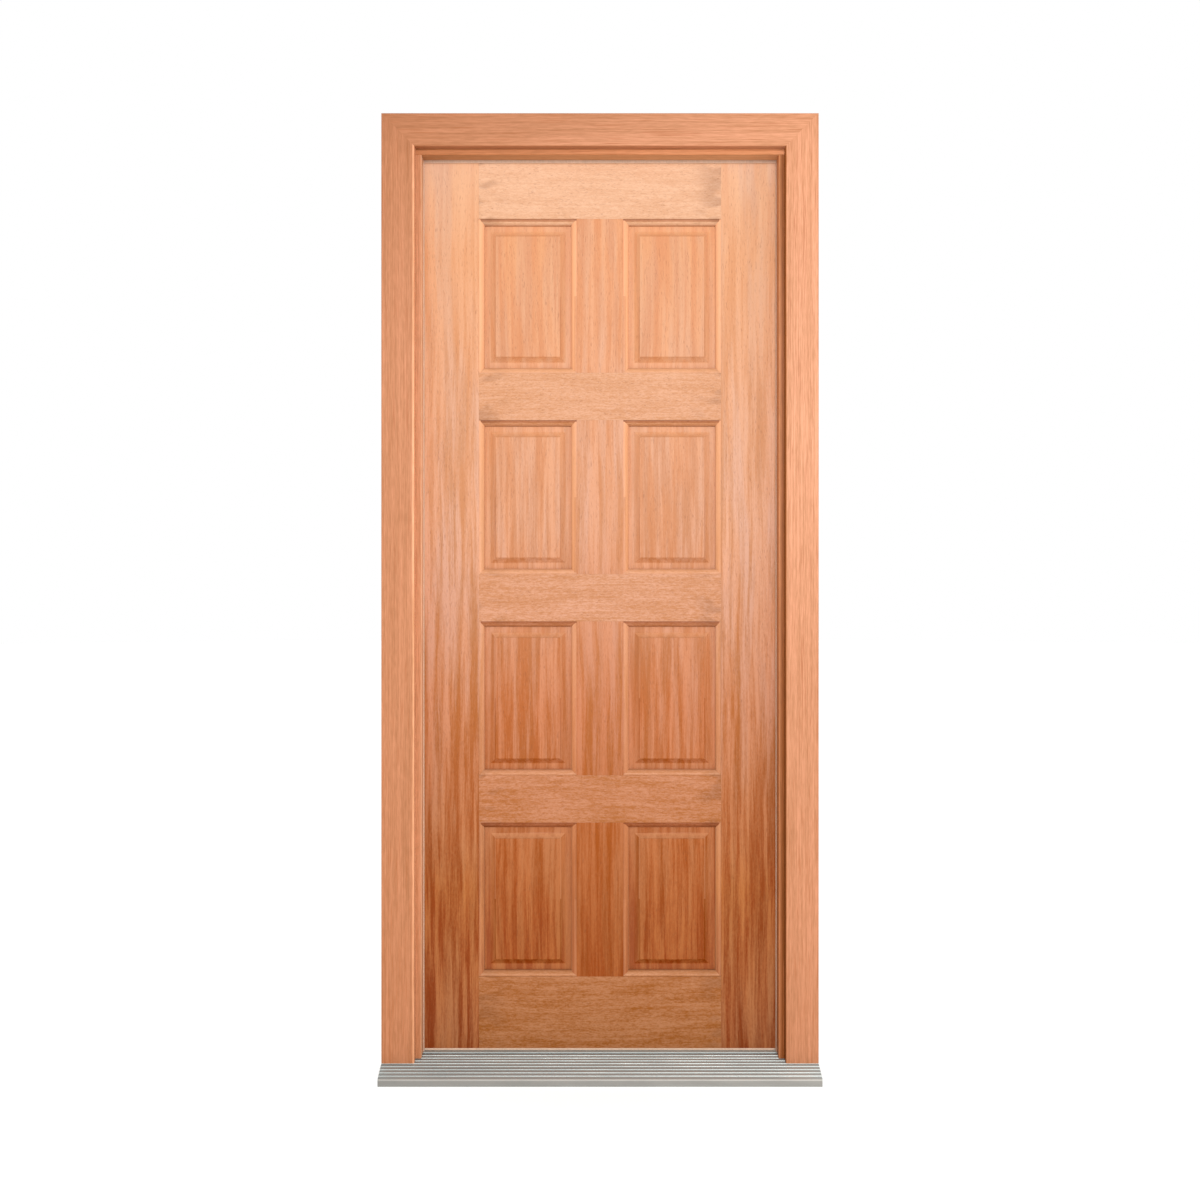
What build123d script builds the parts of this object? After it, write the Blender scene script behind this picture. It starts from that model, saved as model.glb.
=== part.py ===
from build123d import *
import os

# A panelled front door in its frame, in millimetres, seen from outside along +Y.
# X runs across the door from its centre line, Y runs inwards from the wall face that
# the casings lie on, and Z rises from the underside of the sill.

# Leaf: faces are measured between the outer lines of the mouldings
leaf_width = 810.0
leaf_height = 1980.0
leaf_thickness = 40.0
stile_face = 136.0
muntin_face = 104.0
top_rail_face = 138.0
cross_rail_face = 105.0
bottom_rail_face = 159.0
row_names = ["top", "upper", "lower", "bottom"]
cross_rail_names = ["upper_rail", "middle_rail", "lower_rail"]

# Moulding run on the stiles, rails and muntins: a quirk, then an ovolo down to the panel
moulding_width = 12.0
moulding_depth = 10.0
quirk_width = 2.0
quirk_depth = 2.4
ovolo_bulge = 2.1
groove_behind_moulding = 3.0
cope_clearance = 0.1
tongue_end_gap = 0.5

# Raised and fielded panels, loose in their grooves
panel_edge_thickness = 9.0
panel_field_thickness = 28.0
panel_raise_width = 25.0
panel_flat_margin = 12.0
panel_cove_hollow = 1.2
panel_side_play = 0.2
panel_end_play = 3.0

# Stopped tenons on the rails and muntins, glued into mortises
rail_tenon_length = 60.0
muntin_tenon_length = 24.0
tenon_shoulder = 14.0
tenon_clearance = 0.1
mortise_end_room = 2.0

# Gaps round the leaf, and how far the stops cover it
leaf_gap = 3.0
leaf_foot_gap = 6.0
side_overlap = 13.5
head_overlap = 9.0

# Frame
stop_depth = 35.0
seal_gap = 3.0
jamb_thickness = 30.0
jamb_arris = 1.5
housing_depth = 10.0

# Casings, mitred at the top corners
casing_width = 72.0
casing_thickness = 18.0
casing_arris = 3.0
casing_margin = 13.0

# Sill: an extruded aluminium section with a ribbed, rounded slope
sill_projection = 63.0
nose_height = 16.0
slope_middle_y = -18.0
slope_middle_z = 31.5
slope_top_y = 20.0
slope_top_z = 40.0
sill_tread_z = 41.0
channel_width = 10.0
channel_depth = 7.0
sill_wall = 2.5
sill_web_y = 0.0
sill_foot = 16.0
rib_count = 8
rib_radius = 1.8
rib_height = 1.6
scribe_clearance = 0.1

# Rubber seals
seal_clearance = 0.3
seal_edge_margin = 1.0
side_seal_lip = 1.5
head_seal_lip = 5.5
kerf_width = 3.0
kerf_depth = 7.0
kerf_inset = 7.0
barb_clearance = 0.2
foot_seal_setback = 5.0
foot_seal_width = 12.0
foot_seal_wall = 1.5

# Butt hinges
hinge_height = 100.0
hinge_flap_width = 37.5
hinge_flap_thickness = 2.5
hinge_knuckles = 5
knuckle_radius = 5.5
knuckle_standoff = 0.5
knuckle_end_gap = 0.3
pin_diameter = 6.0
pin_clearance = 0.05
upper_hinge_setback = 150.0
lower_hinge_setback = 225.0
hinge_names = ["upper", "middle", "lower"]

# Screw holes in the hinge flaps
screw_diameter = 4.5
screw_head_diameter = 8.6
screw_hole_count = 3
screw_hole_stagger = 5.0
screw_hole_end = 16.0

# Places worked out from the sizes above
leaf_front = stop_depth + seal_gap
leaf_back = leaf_front + leaf_thickness
leaf_middle = leaf_front + leaf_thickness / 2
leaf_bottom = sill_tread_z + leaf_foot_gap
leaf_top = leaf_bottom + leaf_height
leaf_edge = leaf_width / 2
rebate_x = leaf_edge + leaf_gap
rebate_z = leaf_top + leaf_gap
stop_x = leaf_edge - side_overlap
stop_z = leaf_top - head_overlap
jamb_outer_x = rebate_x + jamb_thickness
head_top_z = rebate_z + jamb_thickness
jamb_depth = leaf_back
casing_inner_x = stop_x + casing_margin
casing_inner_z = stop_z + casing_margin
casing_outer_x = casing_inner_x + casing_width
casing_top_z = casing_inner_z + casing_width

row_count = len(row_names)
opening_width = (leaf_width - 2 * stile_face - muntin_face) / 2
opening_height = (
    leaf_height - top_rail_face - bottom_rail_face - cross_rail_face * len(cross_rail_names)
) / row_count
row_pitch = opening_height + cross_rail_face
row_centres = [
    leaf_top - top_rail_face - opening_height / 2 - row * row_pitch for row in range(row_count)
]
cross_rail_centres = [
    row_centres[row] - row_pitch / 2 for row in range(len(cross_rail_names))
]
top_rail_centre = leaf_top - top_rail_face / 2
bottom_rail_centre = leaf_bottom + bottom_rail_face / 2
shoulder_x = leaf_edge - stile_face
panel_centre_x = muntin_face / 2 + opening_width / 2
tongue_reach = groove_behind_moulding - tongue_end_gap

hinge_axis_x = -(leaf_edge + leaf_gap / 2)
hinge_axis_y = leaf_back + knuckle_radius + knuckle_standoff
hinge_bottoms = [
    leaf_top - upper_hinge_setback - hinge_height,
    (leaf_top - upper_hinge_setback + leaf_bottom + lower_hinge_setback - hinge_height) / 2,
    leaf_bottom + lower_hinge_setback,
]

# Section planes: across the leaf's height and across its width, thickness along Y
upright_section = Plane.XY
level_section = Plane(origin=(0, 0, 0), x_dir=(0, 0, 1), z_dir=(-1, 0, 0))


def block(x0, x1, y0, y1, z0, z1):
    """A box given by its two corners."""
    box = Box(x1 - x0, y1 - y0, z1 - z0)
    return Pos((x0 + x1) / 2, (y0 + y1) / 2, (z0 + z1) / 2) * box


def rectangle(x0, x1, y0, y1):
    """A flat rectangle given by its two corners."""
    return Pos((x0 + x1) / 2, (y0 + y1) / 2) * Rectangle(x1 - x0, y1 - y0)


def rounded(section, points, radius):
    """A section with the corners nearest to the given points rounded."""
    corners = [section.vertices().sort_by_distance(point)[0] for point in points]
    return fillet(corners, radius)


def rod(start, direction, length, radius):
    """A round bar from a start point along a direction."""
    plane = Plane(origin=start, z_dir=direction)
    return extrude(plane * Circle(radius), amount=length)


def member_section(face, low, high):
    """The section of a leaf member, with moulding and groove on its low and high edges."""
    half = face / 2
    front = leaf_thickness / 2
    groove = panel_edge_thickness / 2 + panel_side_play
    section = rectangle(
        -half - (moulding_width if low else 0), half + (moulding_width if high else 0), -front, front
    )
    past = half + moulding_width + 1
    waste = make_face(
        Polyline((past, front - moulding_depth), (past, front + 1), (half, front + 1))
        + Polyline((half, front + 1), (half, front - quirk_depth))
        + Line((half, front - quirk_depth), (half + quirk_width, front - quirk_depth))
        + SagittaArc(
            (half + quirk_width, front - quirk_depth),
            (half + moulding_width, front - moulding_depth),
            ovolo_bulge,
        )
        + Line((half + moulding_width, front - moulding_depth), (past, front - moulding_depth))
    )
    waste += mirror(waste, Plane.XZ)
    waste += rectangle(half - groove_behind_moulding, past, -groove, groove)
    if high:
        section -= waste
    if low:
        section -= mirror(waste, Plane.YZ)
    return section


def upright_member(section, x, bottom, height):
    """A member that stands upright, such as a stile or a muntin."""
    return Pos(x, leaf_middle, bottom) * extrude(upright_section * section, amount=height)


def level_member(section, z, half_length):
    """A member that lies across the leaf, centred on it."""
    blank = extrude(level_section * section, amount=half_length, both=True)
    return Pos(0, leaf_middle, z) * blank


def rail_tenons(face, centre, room=0.0):
    """A rail's two tenons, or with some room their mortises in the stiles."""
    half = face / 2 - tenon_shoulder + room
    thick = panel_edge_thickness / 2 + room
    end = shoulder_x + rail_tenon_length + (mortise_end_room if room else 0)
    return [
        block(
            min(side * shoulder_x, side * end), max(side * shoulder_x, side * end),
            leaf_middle - thick, leaf_middle + thick, centre - half, centre + half,
        )
        for side in (-1, 1)
    ]


def muntin_tenons(centre, room=0.0):
    """A muntin's two tenons, or with some room their mortises in the rails."""
    half = muntin_face / 2 - tenon_shoulder + room
    thick = panel_edge_thickness / 2 + room
    near = opening_height / 2
    end = near + muntin_tenon_length + (mortise_end_room if room else 0)
    return [
        block(
            -half, half, leaf_middle - thick, leaf_middle + thick,
            min(centre + side * near, centre + side * end),
            max(centre + side * near, centre + side * end),
        )
        for side in (-1, 1)
    ]


def make_leaf():
    """Stiles, rails and muntins, coped and tenoned to each other, with their panels."""
    nodes = {}
    kerf = foot_kerf()
    stile_x = leaf_edge - stile_face / 2
    stiles = {
        "hinge_stile": (member_section(stile_face, False, True), -stile_x),
        "lock_stile": (member_section(stile_face, True, False), stile_x),
    }
    rails = {
        "top_rail": (top_rail_face, top_rail_centre, member_section(top_rail_face, True, False)),
        "bottom_rail": (
            bottom_rail_face, bottom_rail_centre, member_section(bottom_rail_face, False, True)
        ),
    }
    for name, centre in zip(cross_rail_names, cross_rail_centres):
        rails[name] = (cross_rail_face, centre, member_section(cross_rail_face, True, True))

    stile_mortises = [
        mortise
        for face, centre, _ in rails.values()
        for mortise in rail_tenons(face, centre, tenon_clearance)
    ]
    stile_copes = []
    for name, (section, x) in stiles.items():
        stile = upright_member(section, x, leaf_bottom, leaf_height)
        nodes[name] = stile - (stile_mortises + [kerf])
        grown = offset(section, cope_clearance)
        stile_copes.append(upright_member(grown, x, leaf_bottom - 1, leaf_height + 2))
    nodes["hinge_stile"] -= hinge_recesses(1)

    rail_mortises = [
        mortise for centre in row_centres for mortise in muntin_tenons(centre, tenon_clearance)
    ]
    rail_copes = []
    for name, (face, centre, section) in rails.items():
        rail = level_member(section, centre, shoulder_x + tongue_reach) - stile_copes
        nodes[name] = (rail + rail_tenons(face, centre)) - rail_mortises
        rail_copes.append(level_member(offset(section, cope_clearance), centre, shoulder_x))
    nodes["bottom_rail"] -= kerf

    muntin = member_section(muntin_face, True, True)
    muntin_length = opening_height + 2 * tongue_reach
    panel = raised_panel()
    for row, centre in zip(row_names, row_centres):
        blank = upright_member(muntin, 0, centre - muntin_length / 2, muntin_length)
        nodes[row + "_muntin"] = (blank - rail_copes) + muntin_tenons(centre)
        for side, x in (("hinge_side", -panel_centre_x), ("lock_side", panel_centre_x)):
            nodes[f"{row}_{side}_panel"] = Pos(x, leaf_middle, centre) * panel
    return nodes


def panel_outline(size):
    """A raised panel's section: a thin edge with a flat margin, a cove, and the field."""
    half = size / 2
    edge = panel_edge_thickness / 2
    field = panel_field_thickness / 2
    tongue = moulding_width + groove_behind_moulding - panel_end_play
    cove_start = half - tongue - panel_flat_margin
    cove_end = half - tongue - panel_raise_width
    outline = [
        Line((half, 0), (half, edge)),
        Line((half, edge), (cove_start, edge)),
        SagittaArc((cove_start, edge), (cove_end, field), panel_cove_hollow),
        Line((cove_end, field), (0, field)),
    ]
    quarter = make_face(outline + [Polyline((0, field), (0, 0), (half, 0))])
    side = quarter + mirror(quarter, Plane.YZ)
    return side + mirror(side, Plane.XZ)


def raised_panel():
    """One panel about its centre: the sections across and up it, worked into each other."""
    grow = 2 * (groove_behind_moulding - panel_end_play)
    width = opening_width + grow
    height = opening_height + grow
    across = extrude(upright_section * panel_outline(width), amount=height / 2, both=True)
    upwards = extrude(level_section * panel_outline(height), amount=width / 2, both=True)
    return across & upwards


def foot_kerf():
    """The slot under the leaf that the foot seal is pushed into."""
    y = leaf_front + foot_seal_setback + foot_seal_width / 2
    return block(
        -leaf_edge - 1, leaf_edge + 1, y - kerf_width / 2, y + kerf_width / 2,
        leaf_bottom - 1, leaf_bottom + kerf_depth,
    )


def foot_seal():
    """A hollow rubber strip under the leaf, with a barb in the leaf's slot."""
    y = leaf_front + foot_seal_setback + foot_seal_width / 2
    low = sill_tread_z + seal_clearance
    half = foot_seal_width / 2
    section = rectangle(y - half, y + half, low, leaf_bottom)
    section -= rectangle(
        y - half + foot_seal_wall, y + half - foot_seal_wall,
        low + foot_seal_wall, leaf_bottom - foot_seal_wall,
    )
    barb = kerf_width / 2 - barb_clearance
    section += rectangle(
        y - barb, y + barb, leaf_bottom - foot_seal_wall / 2, leaf_bottom + kerf_depth - 1
    )
    return extrude(Plane.YZ * section, amount=leaf_edge, both=True)


def jamb_section():
    """The lock-side jamb's section, with its stop towards the opening and the seal's kerf."""
    section = make_face(
        Polyline(
            (jamb_outer_x, 0), (stop_x, 0), (stop_x, stop_depth), (rebate_x, stop_depth),
            (rebate_x, jamb_depth), (jamb_outer_x, jamb_depth), (jamb_outer_x, 0),
        )
    )
    section = rounded(
        section, [(stop_x, 0), (stop_x, stop_depth), (rebate_x, jamb_depth)], jamb_arris
    )
    kerf_x = stop_x + kerf_inset
    return section - rectangle(
        kerf_x - kerf_width / 2, kerf_x + kerf_width / 2, stop_depth - kerf_depth, stop_depth + 1
    )


def lock_jamb():
    """The lock-side jamb: scribed to the sill, and housed into the head."""
    top = rebate_z + housing_depth
    jamb = extrude(Plane.XY * jamb_section(), amount=top)
    jamb -= block(0, rebate_x, -1, jamb_depth + 1, stop_z, top + 1)
    return jamb - sill_envelope()


def hinge_jamb():
    """The hinge-side jamb: the other one's mirror image, with the hinge recesses."""
    jamb = mirror(lock_jamb(), Plane.YZ)
    return jamb - hinge_recesses(-1)


def head():
    """The head: its rebate follows the jambs', and it is housed over their tops."""
    section = make_face(
        Polyline(
            (0, head_top_z), (0, stop_z), (stop_depth, stop_z), (stop_depth, rebate_z),
            (jamb_depth, rebate_z), (jamb_depth, head_top_z), (0, head_top_z),
        )
    )
    section = rounded(
        section, [(0, stop_z), (stop_depth, stop_z), (jamb_depth, rebate_z)], jamb_arris
    )
    kerf_z = stop_z + kerf_inset
    section -= rectangle(
        stop_depth - kerf_depth, stop_depth + 1, kerf_z - kerf_width / 2, kerf_z + kerf_width / 2
    )
    beam = extrude(Plane.YZ * section, amount=jamb_outer_x, both=True)
    for x0, x1 in ((-jamb_outer_x - 1, -rebate_x), (rebate_x, jamb_outer_x + 1)):
        beam -= block(x0, x1, -1, jamb_depth + 1, stop_z - 1, rebate_z + housing_depth)
    return beam


def seal_section(lip, reach):
    """A stop seal's section: a strip on the stop with a barb, from the stop's edge outwards."""
    strip = rectangle(-lip, reach, stop_depth, leaf_front - seal_clearance)
    barb = kerf_width / 2 - barb_clearance
    return strip + rectangle(
        kerf_inset - barb, kerf_inset + barb, stop_depth - kerf_depth + 1, stop_depth + seal_gap / 2
    )


def lock_side_seal():
    """The seal on the lock-side stop, from the sill up to the head's seal."""
    section = Pos(stop_x, 0) * seal_section(side_seal_lip, rebate_x - stop_x - seal_edge_margin)
    top = stop_z - head_seal_lip
    return Pos(0, 0, sill_tread_z) * extrude(Plane.XY * section, amount=top - sill_tread_z)


def head_seal():
    """The seal on the head's stop, over the tops of the side seals."""
    section = seal_section(head_seal_lip, rebate_z - stop_z - seal_edge_margin)
    plane = Plane(origin=(0, 0, stop_z), x_dir=(0, 0, 1), z_dir=(-1, 0, 0))
    return extrude(plane * section, amount=rebate_x - seal_edge_margin, both=True)


def casing_board(points):
    """A flat casing board of the given outline, before its front edges are rounded."""
    return extrude(Plane.XZ * make_face(Polyline(*points, points[0])), amount=casing_thickness)


def casing_bar(low, high):
    """A casing's section with its two front arrises rounded."""
    section = rectangle(low, high, -casing_thickness, 0)
    return rounded(section, [(low, -casing_thickness), (high, -casing_thickness)], casing_arris)


def lock_side_casing():
    """The lock-side casing: scribed to the sill at its foot, mitred at its top."""
    board = casing_board(
        [
            (casing_inner_x, 0), (casing_outer_x, 0),
            (casing_outer_x, casing_top_z), (casing_inner_x, casing_inner_z),
        ]
    )
    bar = extrude(Plane.XY * casing_bar(casing_inner_x, casing_outer_x), amount=casing_top_z)
    return (board & bar) - sill_envelope()


def head_casing():
    """The casing over the head, mitred at both ends."""
    board = casing_board(
        [
            (-casing_inner_x, casing_inner_z), (casing_inner_x, casing_inner_z),
            (casing_outer_x, casing_top_z), (-casing_outer_x, casing_top_z),
        ]
    )
    section = casing_bar(casing_inner_z, casing_top_z)
    return board & extrude(level_section * section, amount=casing_outer_x, both=True)


def slope_arc():
    """The rounded slope of the sill's top, from its nose to the drain channel."""
    return ThreePointArc(
        (-sill_projection, nose_height), (slope_middle_y, slope_middle_z), (slope_top_y, slope_top_z)
    )


def sill_slope_fill():
    """The area under the sill's slope, closed down to the ground."""
    return make_face(
        slope_arc()
        + Polyline(
            (slope_top_y, slope_top_z), (slope_top_y, 0),
            (-sill_projection, 0), (-sill_projection, nose_height),
        )
    )


def sill_envelope():
    """What the jambs and casings are scribed to: the tread, and the slope over its ribs."""
    over = rib_height + scribe_clearance
    section = offset(sill_slope_fill(), over)
    section &= rectangle(-sill_projection - over, slope_top_y, -over, sill_tread_z + over)
    section += rectangle(slope_top_y, jamb_depth + 1, -over, sill_tread_z)
    return extrude(Plane.YZ * section, amount=casing_outer_x + 1, both=True)


def sill():
    """The sill: one hollow extrusion, notched at its ends to fit between the walls."""
    channel_back = slope_top_y + channel_width
    tread = rectangle(slope_top_y - sill_wall, jamb_depth, 0, sill_tread_z)
    outline = sill_slope_fill() + tread
    outline -= rectangle(
        slope_top_y, channel_back, sill_tread_z - channel_depth, sill_tread_z + 1
    )
    outline -= rectangle(slope_top_y - sill_wall - 1, slope_top_y, slope_top_z, sill_tread_z + 1)
    hollow = offset(outline, -sill_wall)
    hollow += rectangle(-sill_projection + sill_wall, jamb_depth - sill_wall, -1, sill_wall + 1)
    section = outline - hollow
    web = rectangle(sill_web_y - sill_wall / 2, sill_web_y + sill_wall / 2, 0, sill_tread_z)
    foot = rectangle(sill_web_y - sill_foot / 2, sill_web_y + sill_foot / 2, 0, sill_wall)
    front_foot = rectangle(-sill_projection, -sill_projection + sill_foot / 2, 0, sill_wall)
    back_foot = rectangle(jamb_depth - sill_foot / 2, jamb_depth, 0, sill_wall)
    section += (web & outline) + foot + front_foot + back_foot
    slope = slope_arc()
    for rib in range(rib_count):
        at = (rib + 1) / (rib_count + 0.5)
        centre = slope.position_at(at) - slope_normal(slope, at) * (rib_radius - rib_height)
        section += Pos(centre.X, centre.Y) * Circle(rib_radius)
    bar = extrude(Plane.YZ * section, amount=casing_outer_x, both=True)
    for x0, x1 in (
        (-casing_outer_x - 1, -jamb_outer_x), (jamb_outer_x, casing_outer_x + 1)
    ):
        bar -= block(x0, x1, 0, jamb_depth + 1, -1, sill_tread_z + 1)
    return bar


def slope_normal(slope, at):
    """The direction that points out of the slope at a share of its length."""
    along = slope.tangent_at(at)
    return Vector(-along.Y, along.X) if along.X > 0 else Vector(along.Y, -along.X)


def hinge_knuckle_spans(bottom, share):
    """The lowest and highest points of every second knuckle, from the one numbered share."""
    pitch = hinge_height / hinge_knuckles
    gap = knuckle_end_gap / 2
    return [
        (bottom + index * pitch + gap, bottom + (index + 1) * pitch - gap)
        for index in range(share, hinge_knuckles, 2)
    ]


def hinge_flap(bottom, side, share):
    """A hinge flap with its knuckles: side -1 lies in the jamb, side 1 in the leaf's edge."""
    inner = hinge_axis_x + side * leaf_gap / 2
    outer = inner + side * hinge_flap_thickness
    x0, x1 = min(inner, outer), max(inner, outer)
    clear_y = hinge_axis_y - knuckle_radius - knuckle_standoff
    flap = block(x0, x1, hinge_axis_y - hinge_flap_width, clear_y, bottom, bottom + hinge_height)
    for z0, z1 in hinge_knuckle_spans(bottom, share):
        flap += block(x0, x1, clear_y - 1, hinge_axis_y, z0, z1)
        flap += rod((hinge_axis_x, hinge_axis_y, z0), (0, 0, 1), z1 - z0, knuckle_radius)
    bore = pin_diameter / 2 + pin_clearance
    flap -= rod(
        (hinge_axis_x, hinge_axis_y, bottom - 1), (0, 0, 1), hinge_height + 2, bore
    )
    return flap - screw_holes(bottom, side)


def screw_holes(bottom, side):
    """One flap's countersunk screw holes, staggered along it."""
    face_x = hinge_axis_x + side * leaf_gap / 2
    middle_y = (hinge_axis_y - hinge_flap_width + leaf_back) / 2
    span = hinge_height - 2 * screw_hole_end
    holes = []
    for index in range(screw_hole_count):
        z = bottom + screw_hole_end + span * index / (screw_hole_count - 1)
        y = middle_y + screw_hole_stagger * (1 if index % 2 else -1)
        plane = Plane(origin=(face_x, y, z), z_dir=(side, 0, 0))
        cone = Cone(
            screw_head_diameter / 2, screw_diameter / 2, hinge_flap_thickness,
            align=(Align.CENTER, Align.CENTER, Align.MIN),
        )
        holes.append(plane * cone)
    return holes


def hinge_recesses(side):
    """The recesses for the flaps in the jamb, side -1, or in the leaf's edge, side 1."""
    inner = hinge_axis_x + side * leaf_gap / 2
    outer = inner + side * hinge_flap_thickness
    x0, x1 = min(inner - side, outer), max(inner - side, outer)
    return [
        block(
            x0, x1, hinge_axis_y - hinge_flap_width, leaf_back + 1, bottom, bottom + hinge_height
        )
        for bottom in hinge_bottoms
    ]


def hinge_pin(bottom):
    """A hinge's pin, flush with the outer knuckles."""
    axis_foot = (hinge_axis_x, hinge_axis_y, bottom + knuckle_end_gap / 2)
    return rod(axis_foot, (0, 0, 1), hinge_height - knuckle_end_gap, pin_diameter / 2)


def make_nodes():
    """Every piece of the door and its frame, by name."""
    nodes = {
        "sill": sill(),
        "hinge_jamb": hinge_jamb(),
        "lock_jamb": lock_jamb(),
        "head": head(),
        "hinge_side_casing": mirror(lock_side_casing(), Plane.YZ),
        "lock_side_casing": lock_side_casing(),
        "head_casing": head_casing(),
        "hinge_side_seal": mirror(lock_side_seal(), Plane.YZ),
        "lock_side_seal": lock_side_seal(),
        "head_seal": head_seal(),
        "foot_seal": foot_seal(),
    }
    for name, bottom in zip(hinge_names, hinge_bottoms):
        nodes[name + "_jamb_flap"] = hinge_flap(bottom, -1, 0)
        nodes[name + "_leaf_flap"] = hinge_flap(bottom, 1, 1)
        nodes[name + "_hinge_pin"] = hinge_pin(bottom)
    nodes.update(make_leaf())
    return nodes


os.makedirs("parts", exist_ok=True)
for node_name, node_shape in make_nodes().items():
    export_step(node_shape, f"parts/{node_name}.step")
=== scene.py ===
import math
from collections import namedtuple

import bmesh
import bpy
from bpy.props import FloatProperty, FloatVectorProperty, IntProperty, PointerProperty
from bpy.types import Operator, Panel, PropertyGroup
from mathutils import Matrix, Vector


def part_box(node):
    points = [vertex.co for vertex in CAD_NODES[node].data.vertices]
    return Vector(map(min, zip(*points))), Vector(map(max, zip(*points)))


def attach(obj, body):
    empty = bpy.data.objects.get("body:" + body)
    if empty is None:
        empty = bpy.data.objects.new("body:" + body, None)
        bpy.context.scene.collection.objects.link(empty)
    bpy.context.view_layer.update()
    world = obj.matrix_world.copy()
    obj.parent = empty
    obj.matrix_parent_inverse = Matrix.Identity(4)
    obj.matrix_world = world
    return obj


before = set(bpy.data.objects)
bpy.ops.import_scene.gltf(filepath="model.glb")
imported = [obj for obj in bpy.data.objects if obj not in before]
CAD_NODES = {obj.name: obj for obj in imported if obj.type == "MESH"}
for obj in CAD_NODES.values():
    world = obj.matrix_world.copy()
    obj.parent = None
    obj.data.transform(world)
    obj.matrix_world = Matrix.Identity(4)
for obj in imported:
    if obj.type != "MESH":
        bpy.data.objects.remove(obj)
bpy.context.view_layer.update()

bl_info = {
    "name": "Panelled Front Door",
    "version": (1, 0, 0),
    "blender": (4, 5, 0),
    "location": "3D View > Sidebar > Door",
    "description": "Finishes a panelled hardwood door, its frame, sill and hinges",
    "category": "Object",
}

MM = 0.001
LEAF_STILES = [n for n in CAD_NODES if n.endswith("_stile")]
LEAF_MUNTINS = [n for n in CAD_NODES if n.endswith("_muntin")]
LEAF_PANELS = [n for n in CAD_NODES if n.endswith("_panel")]
LEAF_RAILS = [n for n in CAD_NODES if n.endswith("_rail")]
FRAME_UPRIGHTS = ["hinge_jamb", "lock_jamb", "hinge_side_casing", "lock_side_casing"]
FRAME_HEADS = ["head", "head_casing"]
SEALS = [n for n in CAD_NODES if n.endswith("_seal")]
LEAF_MIDDLE = 58 * MM
EVEN = (1.0, 1.0, 1.0)
# How much paler or darker than the casings a board is painted on its front, on a jamb's stop or
# behind the head's front, and on a casing's inner edge. All of it is painted light and shade for a
# light from the right: painted light on the hinge jamb and on the hinge-side casing's inner arris,
# painted shadow on the lock jamb's front beside its casing, painted shade on its stop and on the
# lock-side casing's inner edge, and on the head painted shade on the front and painted light behind
# it. Then the width over which the front and the stop or the edge blend.
BOARD_PAINTED_LIGHT = {
    "hinge_jamb": ((1.1, 1.1, 1.1), (1.9, 2.6, 3.3), EVEN, 0.0005),
    "lock_jamb": ((0.41, 0.245, 0.045), (0.9, 0.78, 0.58), EVEN, 0.008),
    "head": ((0.95, 0.84, 0.66), (1.08, 1.22, 1.1), EVEN, 0.008),
    "hinge_side_casing": (EVEN, EVEN, (1.9, 2.25, 2.6), 0.0055),
    "lock_side_casing": (EVEN, EVEN, (0.55, 0.4, 0.16), 0.002),
}
HINGE_PARTS = [n for n in CAD_NODES if n.endswith(("_flap", "_pin"))]
# The worked edges of a kind of member. face and deep are where its face and the deep part of its
# moulding or bevel lie, from the leaf's middle. The others are painted light and shade: 1 as on the
# face, 0 black, and 2 wholly the painted highlight colour. down, side and up are for what faces that
# way, each at the leaf's foot and at its head, painted as if lit from above and in front; hollow is
# for the deep part, and quirk is the painted shadow in the quirk along a rail's lower edge.
Edges = namedtuple("Edges", "face deep down side up hollow quirk")
STILE_EDGE_LIGHT = Edges(19.6 * MM, 15.0 * MM, (1.14, 1.6), (1.14, 1.6), (1.14, 1.6), 1.1, 1.2)
RAIL_EDGE_LIGHT = Edges(19.6 * MM, 12.5 * MM, (0.42, 1.0), (1.0, 1.0), (1.19, 1.35), 1.0, 0.47)
PANEL_EDGE_LIGHT = Edges(13.8 * MM, 5.6 * MM, (0.74, 1.08), (1.05, 1.15), (1.26, 1.28), 1.0, 1.0)
# The depth over which an edge's painted light and shade sets in, how far behind the face the quirk
# ends, and the heights that the pairs above are for.
EDGE_BLEND = 0.9 * MM
QUIRK_DEPTH = (2.3 * MM, 2.9 * MM)
EDGE_HEIGHTS = (0.5, 1.8)
# Distances from the door's middle: where the smudges near a rail's ends begin and are strongest, the
# jambs' stops, the casings' inner edges, and the frame's two outer edges. Then how far behind the
# wall face a jamb's or the head's painted light and shade changes.
RAIL_ENDS = (0.19, 0.262)
STOP_EDGE = 0.392
CASING_EDGE = 0.4047
FRAME_SIDES = (-0.45, 0.45)
REVEAL_DEPTH = (0.5 * MM, 2.5 * MM)
# The arc that the sill's slope follows between its ribs, about a line along the sill, and how far
# above it a hollow's painted tone gives way to a crest's. Then, from front to back, where the nose
# ends and where the inner ribs begin, the height where the nose's top begins, and where on its left
# and right the sill's painted light changes.
SLOPE_CENTRE = (0.0, 0.08553, -0.34213)
SLOPE_RADIUS = 0.38771
RIB_RISE = (0.3 * MM, 1.4 * MM)
NOSE_DEPTH = (-62.6 * MM, -61.5 * MM)
INNER_RIBS = (-26 * MM, -14 * MM)
NOSE_TOP = (12.2 * MM, 13.6 * MM)
SILL_SIDES = (-0.35, 0.45)
# Where a flap's screws sit, from its lower end and from the wall face, and the flap's face.
SCREW_PLACES = ((16 * MM, 57.25 * MM), (50 * MM, 67.25 * MM), (84 * MM, 57.25 * MM))
JAMB_FLAP_FACE = -0.408
LEAF_FLAP_FACE = -0.405
# How large the softboxes are, where the right one stands, and what both are aimed at.
SOFTBOX_SIZE = (0.9, 2.6)
SOFTBOX_PLACE = (2.6, -1.3, 1.5)
SOFTBOX_AIM = (0, 0, 1.05)
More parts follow.
